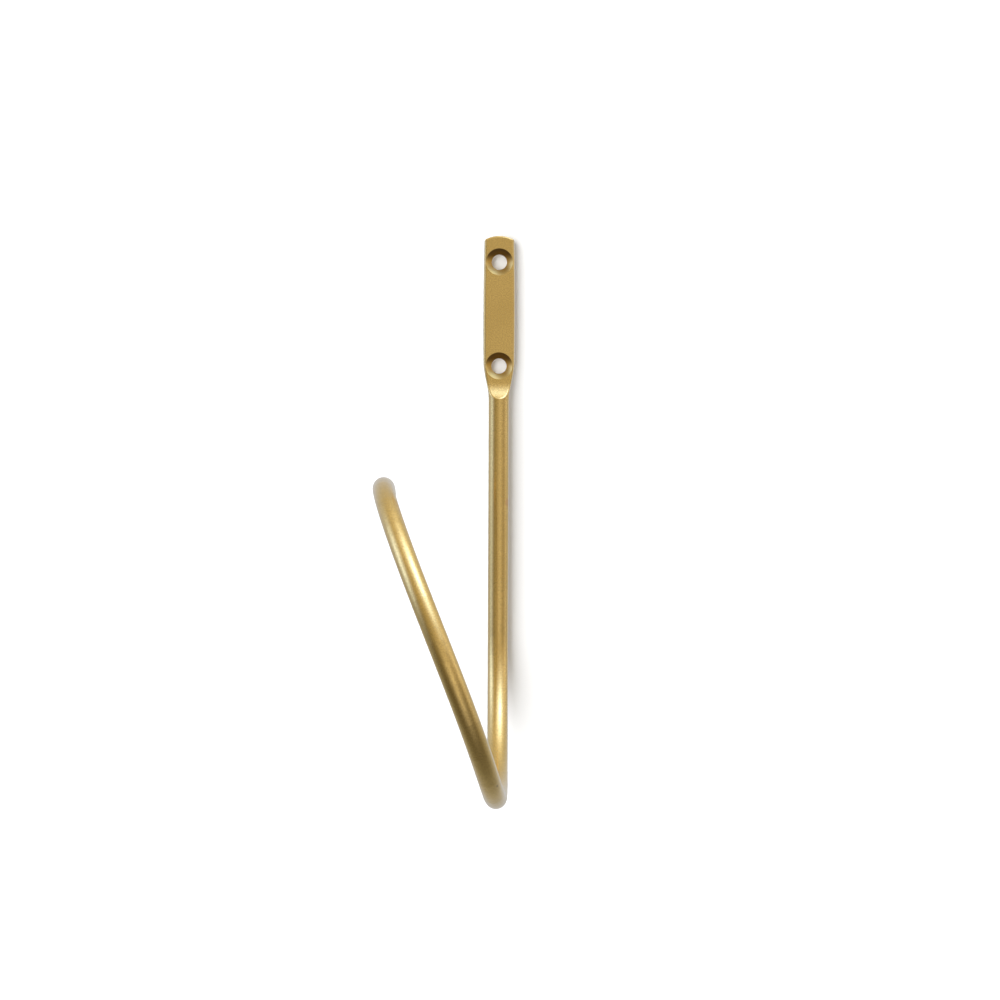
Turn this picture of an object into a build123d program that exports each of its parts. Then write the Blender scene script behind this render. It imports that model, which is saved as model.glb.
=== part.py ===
from build123d import *
import math
import os

# Curtain tieback hook bent from one round brass rod. The upper end is pressed flat for two
# countersunk screws, the rod runs down the wall, turns out at the bottom and comes back up as
# a round arm that leans to the viewer's left, and its domed tip turns back towards the wall.
# Millimetres. The wall is the plane y = 0, the hook stands out towards -Y and +Z is up.
# The origin is on the wall, midway between the two screw holes.

# rod
rod_d = 6.0             # diameter of the rod
loop_r = 43.0           # radius of the loop's centre line, seen from the side
loop_drop = 94.5        # from the middle of the screw holes down to the height of the loop's centre
lean_start = 68.0       # degrees turned where the rod begins to lean, before the bottom at 90
lean_end = 270.0        # degrees turned where the lean ends, the top of the loop
arm_side = 31.9         # how far the arm has moved sideways at the top
arm_bow = 0.56          # how far the lean is put off from the foot of the arm towards its top
arm_sway = 0.27         # how far the lean is drawn together at the middle of the arm
tip_turn = 20.5         # degrees that the tip goes on turning after the top of the loop
tip_flat_r = 0.2        # radius of the small flat in the middle of the domed end

# flattened end
pad_t = 3.6             # thickness
pad_w = 9.4             # greatest width
pad_narrowing = 0.6     # width lost between the widest place and the top
pad_wide_z = -1.0       # height of the widest place
side_r = 4.2            # half depth of the oval that the bulging sides belong to, under half the width
front_edge_r = 0.5      # rounding all round the front, the end of the ramp included
crown = 1.15            # rise of the curved top edge
corner_r = 0.5          # rounding of the two top corners
top_margin = 7.65       # upper screw hole to the highest point

# neck, where the flat runs out into the rod
neck_rise = 1.1         # start of the neck above the lower screw hole
neck_len = 11.4         # length of the neck
ramp_stop = 0.6         # end of the ramp above the end of the neck
ramp_r = 7.5            # radius of the hollow ramp, which leaves the flat without an edge

# screw holes
hole_pitch = 30.6
hole_d = 4.5
sink_d = 7.9
sink_angle = 90.0

# building allowances
station_step = 2.0      # longest distance between the sections of the pressed end
arm_step = 15.0         # longest turn in degrees of one arc of the arm
spare = 2.0             # material above the top edge, trimmed off by it
beyond = 10.0           # how far cutting shapes reach outside the material

hole_z = hole_pitch / 2
pad_top = hole_z + top_margin
neck_top = neck_rise - hole_z
neck_end = neck_top - neck_len
rod_r = rod_d / 2
blank_top = pad_top + spare
crown_r = ((pad_w - pad_narrowing) ** 2 / 4 + crown**2) / (2 * crown)
ramp_rise = rod_d - pad_t
ramp_top = neck_end + ramp_stop + math.sqrt(ramp_rise * (2 * ramp_r - ramp_rise))
lean_turn = lean_end - lean_start


def ease(share):
    """Smooth step from 0 to 1."""
    share = min(1.0, max(0.0, share))
    return share * share * (3 - 2 * share)


def blank_section(z):
    """Half width, half depth and distance from the wall of the oval section at height z."""
    reach = (z - pad_wide_z) / (pad_top - pad_wide_z)
    half_width = (pad_w - pad_narrowing * reach**2) / 2
    done = ease((neck_top - z) / neck_len)
    return (
        half_width + (rod_r - half_width) * done,
        side_r + (rod_r - side_r) * done,
        pad_t / 2 + (rod_r - pad_t / 2) * done,
    )


def loop_point(turn):
    """Point of the loop's centre line, turn in degrees from where it leaves the wall."""
    share = min(1.0, max(0.0, (turn - lean_start) / lean_turn))
    share = (1 - math.cos(math.pi * share)) / 2
    share += (arm_sway * (2 * share - 1) - arm_bow) * share * (1 - share)
    return (
        -arm_side * share,
        -rod_r - loop_r * (1 - math.cos(math.radians(turn))),
        -loop_drop - loop_r * math.sin(math.radians(turn)),
    )


stations = math.ceil((blank_top - neck_end) / station_step)
arm_arcs = math.ceil(lean_turn / arm_step)

with BuildPart() as tieback_hook:
    # blank for the pressed end: oval sections that turn into the round rod at the end of the neck
    for i in range(stations + 1):
        z = blank_top + (neck_end - blank_top) * i / stations
        half_width, half_depth, centre_depth = blank_section(z)
        with BuildSketch(Plane(origin=(0, -centre_depth, z), x_dir=(0, 1, 0), z_dir=(0, 0, -1))):
            Ellipse(half_depth, half_width)
    loft()

    # top edge: a shallow arc with eased corners
    with BuildSketch(Plane.XZ):
        with Locations((0, blank_top)):
            Rectangle(2 * pad_w, 2 * (blank_top - pad_top + 2 * crown))
        with Locations((0, pad_top - crown_r)):
            Circle(crown_r, mode=Mode.SUBTRACT)
    extrude(amount=beyond, both=True, mode=Mode.SUBTRACT)
    fillet(tieback_hook.edges(Select.LAST), radius=corner_r)

    # pressing: the wall side is flat, and the front is flat as far as the hollow ramp
    with BuildSketch(Plane.YZ):
        with Locations((beyond / 2, (blank_top + neck_end) / 2)):
            Rectangle(beyond, blank_top - neck_end)
    extrude(amount=pad_w, both=True, mode=Mode.SUBTRACT)
    with BuildSketch(Plane.YZ):
        with BuildLine():
            ramp = CenterArc((-pad_t - ramp_r, ramp_top), ramp_r, 0, -90)
            top_left = (-pad_t - ramp_r, blank_top + beyond)
            Polyline(ramp @ 1, top_left, (-pad_t, blank_top + beyond), ramp @ 0)
        make_face()
    extrude(amount=pad_w, both=True, mode=Mode.SUBTRACT)
    pressed_edges = tieback_hook.edges(Select.LAST).filter_by(GeomType.LINE, reverse=True)
    fillet(pressed_edges, radius=front_edge_r)

    # screw holes, countersunk from the front
    with Locations(Plane.XZ.offset(pad_t)):
        with GridLocations(0, hole_pitch, 1, 2):
            CounterSinkHole(hole_d / 2, sink_d / 2, counter_sink_angle=sink_angle)

    # rod: straight down the wall, out at the bottom, up and over as the leaning arm
    with BuildLine() as centre_line:
        straight = Line((0, -rod_r, neck_end), (0, -rod_r, -loop_drop))
        bend = TangentArc(straight @ 1, loop_point(lean_start), tangent=straight % 1)
        for i in range(1, arm_arcs + 1):
            turn = lean_start + lean_turn * i / arm_arcs
            bend = TangentArc(bend @ 1, loop_point(turn), tangent=bend % 1)
        tip = TangentArc(bend @ 1, loop_point(lean_end + tip_turn), tangent=bend % 1)
    with BuildSketch(Plane(origin=straight @ 0, z_dir=(0, 0, -1))):
        Circle(rod_r)
    sweep(path=centre_line.line)
    rod_end = tieback_hook.faces().filter_by(GeomType.PLANE).sort_by_distance(tip @ 1)[0]
    fillet(rod_end.edges(), radius=rod_r - tip_flat_r)

tieback_hook.part.label = "tieback_hook"

os.makedirs("parts", exist_ok=True)
export_step(tieback_hook.part, "parts/tieback_hook.step")
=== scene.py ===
import math

import bpy
from bpy.props import FloatProperty, FloatVectorProperty, PointerProperty
from bpy.types import Operator, Panel, PropertyGroup
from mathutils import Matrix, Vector

bl_info = {
    "name": "Curtain tieback hook",
    "version": (1, 0, 0),
    "blender": (4, 5, 0),
    "location": "3D View > Sidebar > Tieback",
    "description": "Finishes a bent brass tieback hook in satin brass and sets it up on a white wall",
    "category": "Add Mesh",
}

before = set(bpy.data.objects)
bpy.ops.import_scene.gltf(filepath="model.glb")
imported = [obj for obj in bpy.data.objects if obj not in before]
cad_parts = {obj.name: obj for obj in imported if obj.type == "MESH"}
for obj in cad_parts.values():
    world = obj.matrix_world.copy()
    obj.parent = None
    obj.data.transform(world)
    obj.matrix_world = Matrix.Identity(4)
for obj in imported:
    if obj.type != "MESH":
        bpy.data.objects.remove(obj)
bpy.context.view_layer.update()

HOOK = "tieback_hook"
MM = 0.001

# Screw holes, as in the part, and the cut faces of their countersinks. Each face's colour fades
# in over a short way at its rim and at its foot.
HOLE_Z = 15.3 * MM
SINK_R = 3.95 * MM
SINK_FOOT = 1.9 * MM  # height over the wall
RIM_FADE = 0.1 * MM
FOOT_FADE = 0.05 * MM
# the cut faces' colour is partly paler cut brass and partly a painted highlight that brightens the
# countersinks
CUT_AND_HIGHLIGHT_WEIGHT = 0.8

# painted shade in the upper part of each countersink, by height over the middle of the hole
SINK_SHADE_LOW = -0.5 * MM
SINK_SHADE_HIGH = 2.4 * MM
SINK_SHADE_COLOUR = (0.11, 0.06, 0.02, 1.0)
SINK_SHADE_WEIGHT = 0.9

# marks that this hook carries: a dark speck on the loop and a reddish smudge on the shank
SPECK_AT = Vector((0.1, -71.3, -131.7)) * MM
SPECK_R = 0.45 * MM
SPECK_COLOUR = (0.12, 0.07, 0.03, 1.0)
SPECK_WEIGHT = 0.8
SMUDGE_AT = Vector((2.7, -4.3, -55.5)) * MM
SMUDGE_R = 1.6 * MM
SMUDGE_COLOUR = (0.50, 0.22, 0.12, 1.0)
SMUDGE_WEIGHT = 0.35
MARK_CORE = 0.5  # share of a mark's radius that has its full colour

# grain, clouds and slow waves of the satin surface
NOISE_MEAN = 0.5
CLOUD_LIMITS = (0.35, 0.65)
GRAIN_LIMITS = (0.35, 0.70)
GRAIN_SHADE = 0.72  # colour of the grain's hollows, as a share of the deeper brass
GRAIN_WEIGHT = 0.65
GRAIN_ROUGHNESS = 0.16
CLOUD_ROUGHNESS = 0.08
WAVE_SIZE = 4.0 * MM
WAVE_HEIGHT = 3.0  # against the height of the grain
BUMP_STRENGTH = 0.25
BUMP_HEIGHT = 0.02 * MM
LACQUER_ROUGHNESS = 0.22
LACQUER_IOR = 1.5

# wall and camera
WALL_GAP = 0.05 * MM
WALL_PAINT = 0.9
SENSOR = 36.0

# Soft lights of the studio as the brass sees them. The azimuth is 0 towards the camera and 90
# to its right, both angles are in degrees, and a sharper light is a smaller one.
PLAIN = (1.0, 1.0, 1.0)
SOFT_LIGHTS = {
    # azimuth, elevation, sharpness, strength, colour
    "key": (40, 55, 9.0, 4.2, (0.32, 0.48, 1.0)),
    "key_core": (47, 55, 30.0, 3.5, (0.2, 0.4, 1.0)),
    "key_foot": (40, 25, 8.0, 0.25, (1.0, 0.8, 0.35)),
    "key_side": (90, 62, 10.0, 0.4, (1.0, 1.0, 0.8)),
    "ceiling": (180, 85, 3.0, 0.35, PLAIN),
    "upper_room": (0, 50, 1.5, 0.55, (1.0, 0.85, 0.35)),
    "left": (-85, 18, 14.0, 3.6, (0.33, 0.48, 1.0)),
    "left_door": (-25, 8, 14.0, 0.15, (0.7, 0.8, 1.0)),
    "right": (90, 12, 12.0, 0.8, (0.85, 0.85, 1.0)),
    "front": (15, -22, 10.0, 0.65, PLAIN),
    "front_wide": (18, -18, 5.0, 0.3, (0.25, 0.4, 1.0)),
    "wall_left": (-135, 15, 3.0, 0.75, (0.5, 0.62, 0.9)),
    "wall_right": (140, 15, 4.0, 0.65, (0.6, 0.7, 0.9)),
    "wall_far": (180, 0, 1.2, 0.14, PLAIN),
    "wall_low": (180, -40, 3.0, 0.40, (0.8, 0.9, 1.0)),
}
ROOM_GLOW = (0.03, 0.02, 0.005)
WHITE = (1.0, 1.0, 1.0, 1.0)

COLOUR_RESULT = 2  # place of the colour among the outputs of a Mix node


class FinishSizes(PropertyGroup):
    """Colours and grain of the satin brass."""

    brass: FloatVectorProperty(
        name="Brass",
        description="Colour of the satin brass",
        subtype="COLOR",
        size=3,
        min=0.0,
        max=1.0,
        default=(0.72, 0.485, 0.155),
    )
    brass_deep: FloatVectorProperty(
        name="Deeper brass",
        description="Colour of the slightly darker clouds in the brass",
        subtype="COLOR",
        size=3,
        min=0.0,
        max=1.0,
        default=(0.675, 0.45, 0.138),
    )
    # paler cut brass, brightened further as a painted highlight in the countersinks
    brass_cut_and_highlight: FloatVectorProperty(
        name="Cut brass",
        description="Colour of the cut faces of the countersinks",
        subtype="COLOR",
        size=3,
        min=0.0,
        max=1.0,
        default=(0.88, 0.62, 0.19),
    )
    cut_roughness: FloatProperty(
        name="Roughness of the cuts",
        description="Roughness that the countersinks have over the rest",
        default=0.12,
        min=0.0,
        max=0.7,
    )
    roughness: FloatProperty(
        name="Roughness",
        description="Mean roughness of the satin surface",
        default=0.24,
        min=0.0,
        max=1.0,
    )
    grain: FloatProperty(
        name="Grain",
        description="Size of the fine grain left by blasting",
        default=0.40 * MM,
        min=0.05 * MM,
        max=5.0 * MM,
        unit="LENGTH",
        precision=5,
    )
    clouds: FloatProperty(
        name="Clouds",
        description="Size of the slow changes of colour",
        default=9.0 * MM,
        min=1.0 * MM,
        max=100.0 * MM,
        unit="LENGTH",
        precision=4,
    )
    lacquer: FloatProperty(
        name="Lacquer",
        description="Weight of the clear lacquer over the brass",
        default=0.20,
        min=0.0,
        max=1.0,
    )


class StudioSizes(PropertyGroup):
    """Wall, lamps and camera."""

    wall: FloatProperty(
        name="Wall",
        description="Width and height of the white wall behind the hook",
        default=0.5,
        min=0.2,
        unit="LENGTH",
    )
    lamp_height: FloatProperty(
        name="Wall lamps' height",
        description="Height of the softboxes left and right that light the wall",
        default=2.4,
        min=0.2,
        unit="LENGTH",
    )
    lamp_side: FloatProperty(
        name="Wall lamps sideways",
        description="Distance from the hook to the softboxes left and right that light the wall",
        default=0.25,
        min=0.1,
        unit="LENGTH",
    )
    lamp_reach: FloatProperty(
        name="Wall lamps' reach",
        description="How far the two softboxes reach out from the wall",
        default=1.5,
        min=0.1,
        unit="LENGTH",
    )
    wall_left: FloatProperty(
        name="Left wall lamp",
        description="Power of the softbox that lights the wall from the left",
        default=36.0,
        min=0.0,
        unit="POWER",
    )
    wall_right: FloatProperty(
        name="Right wall lamp",
        description="Power of the softbox that lights the wall from the right",
        default=8.5,
        min=0.0,
        unit="POWER",
    )
    camera_distance: FloatProperty(
        name="Camera distance",
        description="Distance from the wall to the camera",
        default=0.780,
        min=0.1,
        unit="LENGTH",
    )
    camera_side: FloatProperty(
        name="Camera sideways",
        description="Place of the camera to the right of the shank",
        default=0.46 * MM,
        unit="LENGTH",
        precision=5,
    )
    camera_height: FloatProperty(
        name="Camera height",
        description="Height of the camera over the middle of the screw holes",
        default=-54.8 * MM,
        unit="LENGTH",
        precision=5,
    )
    camera_roll: FloatProperty(
        name="Camera roll",
        description="Turn of the camera about its line of sight",
        default=math.radians(0.23),
        unit="ROTATION",
    )
    lens: FloatProperty(
        name="Lens",
        description="Focal length in millimetres for a 36 mm sensor",
        default=95.0,
        min=10.0,
    )


class Value:
    """A number that changes over a surface. Arithmetic on it adds the Math nodes."""

    def __init__(self, shader, socket):
        self.shader = shader
        self.socket = socket

    def calculate(self, operation, first, second=None):
        sockets = {0: first} if second is None else {0: first, 1: second}
        return self.shader.node("ShaderNodeMath", {"operation": operation}, sockets)

    def __add__(self, other):
        return self.calculate("ADD", self, other)

    def __radd__(self, other):
        return self.calculate("ADD", other, self)

    def __sub__(self, other):
        return self.calculate("SUBTRACT", self, other)

    def __rsub__(self, other):
        return self.calculate("SUBTRACT", other, self)

    def __mul__(self, other):
        return self.calculate("MULTIPLY", self, other)

    def __rmul__(self, other):
        return self.calculate("MULTIPLY", other, self)

    def __pow__(self, other):
        return self.calculate("POWER", self, other)

    def __abs__(self):
        return self.calculate("ABSOLUTE", self)

    def sign(self):
        return self.calculate("SIGN", self)

    def exp(self):
        return self.calculate("EXPONENT", self)


class Shader:
    """Builds one node tree."""

    def __init__(self, tree):
        self.tree = tree
        tree.nodes.clear()

    def node(self, kind, settings, sockets, output=0):
        """A node of that type: its settings first, then the values or links of its sockets."""
        made = self.tree.nodes.new(kind)
        for name, value in settings.items():
            setattr(made, name, value)
        named = {socket.identifier: socket for socket in made.inputs}
        for key, value in sockets.items():
            socket = made.inputs[key] if isinstance(key, int) else named[key]
            if isinstance(value, Value):
                self.tree.links.new(value.socket, socket)
            else:
                socket.default_value = value
        if not made.outputs:
            return made
        return Value(self, made.outputs[output])

    def vector(self, operation, first, second=None, scale=None, output=0):
        """A Vector Math node."""
        sockets = {"Vector": first}
        if second is not None:
            sockets[1] = second
        if scale is not None:
            sockets["Scale"] = scale
        return self.node("ShaderNodeVectorMath", {"operation": operation}, sockets, output)

    def mix_colour(self, factor, first, second):
        """first where the factor is 0, second where it is 1."""
        return self.node(
            "ShaderNodeMix",
            {"data_type": "RGBA"},
            {"Factor_Float": factor, "A_Color": first, "B_Color": second},
            output=COLOUR_RESULT,
        )

    def noise(self, place, size, detail=2.0, roughness=0.5):
        """Soft noise from 0 to 1 whose patches are about that size in metres."""
        return self.node(
            "ShaderNodeTexNoise",
            {},
            {"Vector": place, "Scale": 1 / size, "Detail": detail, "Roughness": roughness},
        )

    def stretch(self, value, low, high):
        """0 up to low, 1 from high, smooth between them."""
        return self.node(
            "ShaderNodeMapRange",
            {"interpolation_type": "SMOOTHSTEP"},
            {0: value, 1: low, 2: high, 3: 0.0, 4: 1.0},
        )


def countersink_masks(shader, place):
    """1 on the cut faces of the countersinks, and 1 on their upper part, which is darkened as painted
    shade.
    """
    x, y, z = (shader.node("ShaderNodeSeparateXYZ", {}, {0: place}, output=axis) for axis in "XYZ")
    z_off = abs(z) - HOLE_Z
    from_hole = (x * x + z_off * z_off) ** 0.5
    cut = 1 - shader.stretch(from_hole, SINK_R - RIM_FADE, SINK_R + RIM_FADE)
    cut = cut * shader.stretch(0 - y, SINK_FOOT - FOOT_FADE, SINK_FOOT)
    # mask of the painted shade: the upper part of each countersink
    over_hole = z.sign() * z_off
    return cut, cut * shader.stretch(over_hole, SINK_SHADE_LOW, SINK_SHADE_HIGH)


def satin_brass(finish):
    """Brass blasted to a satin grain under clear lacquer."""
    material = bpy.data.materials.new("satin_brass")
    material.use_nodes = True
    shader = Shader(material.node_tree)
    place = shader.node("ShaderNodeTexCoord", {}, {}, output="Object")
    clouds = shader.noise(place, finish.clouds, detail=3.0)
    grain = shader.noise(place, finish.grain, detail=2.0, roughness=0.6)
    waves = shader.noise(place, WAVE_SIZE, detail=1.0)
    cut, painted_shade = countersink_masks(shader, place)

    brass = tuple(finish.brass) + (1.0,)
    deep = tuple(finish.brass_deep) + (1.0,)
    hollows = tuple(c * GRAIN_SHADE for c in finish.brass_deep) + (1.0,)
    colour = shader.mix_colour(shader.stretch(clouds, *CLOUD_LIMITS), brass, deep)
    colour = shader.mix_colour(shader.stretch(grain, *GRAIN_LIMITS) * GRAIN_WEIGHT, colour, hollows)
    for at, radius, tint, weight in (
        (SPECK_AT, SPECK_R, SPECK_COLOUR, SPECK_WEIGHT),
        (SMUDGE_AT, SMUDGE_R, SMUDGE_COLOUR, SMUDGE_WEIGHT),
    ):
        away = shader.vector("DISTANCE", place, at, output="Value")
        mark = 1 - shader.stretch(away, radius * MARK_CORE, radius)
        colour = shader.mix_colour(mark * weight, colour, tint)
    # cut faces: paler cut brass, and a painted highlight that brightens the countersinks
    colour = shader.mix_colour(cut * CUT_AND_HIGHLIGHT_WEIGHT, colour, tuple(finish.brass_cut_and_highlight) + (1.0,))
    # painted shade: the upper part of each countersink is darkened to brown
    colour = shader.mix_colour(painted_shade * SINK_SHADE_WEIGHT, colour, SINK_SHADE_COLOUR)

    rough = finish.roughness + (grain - NOISE_MEAN) * GRAIN_ROUGHNESS
    rough = rough + (clouds - NOISE_MEAN) * CLOUD_ROUGHNESS + cut * finish.cut_roughness
    height = grain + waves * WAVE_HEIGHT
    bump = shader.node(
        "ShaderNodeBump",
        {},
        {"Strength": BUMP_STRENGTH, "Distance": BUMP_HEIGHT, "Height": height},
    )
    skin = shader.node(
        "ShaderNodeBsdfPrincipled",
        {},
        {
            "Base Color": colour,
            "Metallic": 1.0,
            "Roughness": rough,
            "Normal": bump,
            "Coat Weight": finish.lacquer,
            "Coat Roughness": LACQUER_ROUGHNESS,
            "Coat IOR": LACQUER_IOR,
        },
    )
    shader.node("ShaderNodeOutputMaterial", {}, {"Surface": skin})
    return material


def white_wall():
    """Matt white in front. Its back lets the view through, so the hook shows from behind."""
    material = bpy.data.materials.new("white_wall")
    material.use_nodes = True
    shader = Shader(material.node_tree)
    behind = shader.node("ShaderNodeNewGeometry", {}, {}, output="Backfacing")
    paint = shader.node("ShaderNodeBsdfDiffuse", {}, {"Color": (WALL_PAINT,) * 3 + (1.0,)})
    clear = shader.node("ShaderNodeBsdfTransparent", {}, {})
    shown = shader.node("ShaderNodeMixShader", {}, {0: behind, 1: paint, 2: clear})
    shader.node("ShaderNodeOutputMaterial", {}, {"Surface": shown})
    return material


def light_direction(azimuth, elevation):
    """Unit vector towards a light, from angles in degrees as the camera sees them."""
    turn = math.radians(azimuth)
    rise = math.radians(elevation)
    return Vector((math.sin(turn) * math.cos(rise), -math.cos(turn) * math.cos(rise), math.sin(rise)))


def studio_world():
    """White for the camera, and a dim room with soft lights for the brass to reflect.

    It lights no matt surface, so the wall has the light of its own two lamps alone.
    """
    world = bpy.data.worlds.new("studio")
    world.use_nodes = True
    world.cycles_visibility.diffuse = False
    shader = Shader(world.node_tree)
    way = shader.node("ShaderNodeTexCoord", {}, {}, output="Generated")
    room = ROOM_GLOW
    for azimuth, elevation, sharpness, strength, colour in SOFT_LIGHTS.values():
        near = shader.vector("DOT_PRODUCT", way, light_direction(azimuth, elevation), output="Value")
        lobe = ((near - 1) * sharpness).exp() * strength
        room = shader.vector("ADD", room, shader.vector("SCALE", colour, scale=lobe))
    seen = shader.node("ShaderNodeLightPath", {}, {}, output="Is Camera Ray")
    light = shader.mix_colour(seen, room, WHITE)
    sky = shader.node("ShaderNodeBackground", {}, {"Color": light, "Strength": 1.0})
    shader.node("ShaderNodeOutputWorld", {}, {"Surface": sky})
    return world


def deselect_all():
    for obj in bpy.context.selected_objects:
        obj.select_set(False)


def wall_lamp(name, place, aim, size, power):
    """A rectangular softbox at place that faces aim and lights only the wall. Metres and watts."""
    data = bpy.data.lights.new(name, "AREA")
    data.shape = "RECTANGLE"
    data.size, data.size_y = size
    data.energy = power
    lamp = bpy.data.objects.new(name, data)
    lamp.location = place
    lamp.rotation_euler = (Vector(aim) - Vector(place)).to_track_quat("-Z", "Y").to_euler()
    lamp.visible_camera = False
    lamp.visible_glossy = False
    bpy.context.scene.collection.objects.link(lamp)
    return lamp


class TIEBACK_OT_finish(Operator):
    """Give the bent rod its satin brass."""

    bl_idname = "tieback.finish"
    bl_label = "Satin brass"

    def execute(self, context):
        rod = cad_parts.get(HOOK)
        if rod is None:
            raise RuntimeError("the frame has no tieback hook")
        brass = satin_brass(context.scene.tieback_finish)
        if not rod.material_slots:
            rod.data.materials.append(brass)
        for slot in rod.material_slots:
            slot.material = brass
        return {"FINISHED"}


class TIEBACK_OT_stage(Operator):
    """Put up the wall, the lamps and the camera."""

    bl_idname = "tieback.stage"
    bl_label = "Wall, lamps and camera"

    def execute(self, context):
        studio = context.scene.tieback_studio
        deselect_all()
        bpy.ops.mesh.primitive_plane_add(
            size=studio.wall,
            location=(0.0, WALL_GAP, studio.camera_height),
            rotation=(math.pi / 2, 0.0, 0.0),
        )
        wall = context.active_object
        wall.name = "wall"
        bpy.ops.object.transform_apply(location=True, rotation=True, scale=True)
        wall.data.materials.append(white_wall())
        # the brass reflects the soft lights and not this wall, which shades nothing either
        wall.visible_diffuse = False
        wall.visible_glossy = False
        wall.visible_shadow = False

        for name, side, power in (
            ("wall_left", -1, studio.wall_left),
            ("wall_right", 1, studio.wall_right),
        ):
            out = -studio.lamp_reach / 2
            place = Vector((side * studio.lamp_side, out, studio.camera_height))
            aim = Vector((0.0, out, studio.camera_height))
            wall_lamp(name, place, aim, (studio.lamp_reach, studio.lamp_height), power)
        context.scene.world = studio_world()

        data = bpy.data.cameras.new("camera")
        data.lens = studio.lens
        data.sensor_width = SENSOR
        camera = bpy.data.objects.new("camera", data)
        camera.location = (studio.camera_side, -studio.camera_distance, studio.camera_height)
        camera.rotation_euler = (math.pi / 2, -studio.camera_roll, 0.0)
        context.scene.collection.objects.link(camera)
        context.scene.camera = camera
        context.scene.view_settings.view_transform = "Standard"
        context.scene.view_settings.look = "None"
        return {"FINISHED"}


class TIEBACK_PT_panel(Panel):
    """Sizes, colours and steps of the tieback hook."""

    bl_idname = "TIEBACK_PT_panel"
    bl_label = "Tieback hook"
    bl_space_type = "VIEW_3D"
    bl_region_type = "UI"
    bl_category = "Tieback"

    def draw(self, context):
        scene = context.scene
        for group in (scene.tieback_finish, scene.tieback_studio):
            for name in group.bl_rna.properties.keys():
                if name not in ("rna_type", "name"):
                    self.layout.prop(group, name)
        for step in STEPS:
            self.layout.operator(step.bl_idname)


STEPS = (TIEBACK_OT_finish, TIEBACK_OT_stage)
CLASSES = (FinishSizes, StudioSizes, *STEPS, TIEBACK_PT_panel)


def register():
    for cls in CLASSES:
        bpy.utils.register_class(cls)
    bpy.types.Scene.tieback_finish = PointerProperty(type=FinishSizes)
    bpy.types.Scene.tieback_studio = PointerProperty(type=StudioSizes)


def unregister():
    del bpy.types.Scene.tieback_studio
    del bpy.types.Scene.tieback_finish
    for cls in reversed(CLASSES):
        bpy.utils.unregister_class(cls)


def main():
    register()
    bpy.ops.tieback.finish()
    bpy.ops.tieback.stage()


if __name__ == "__main__":
    main()
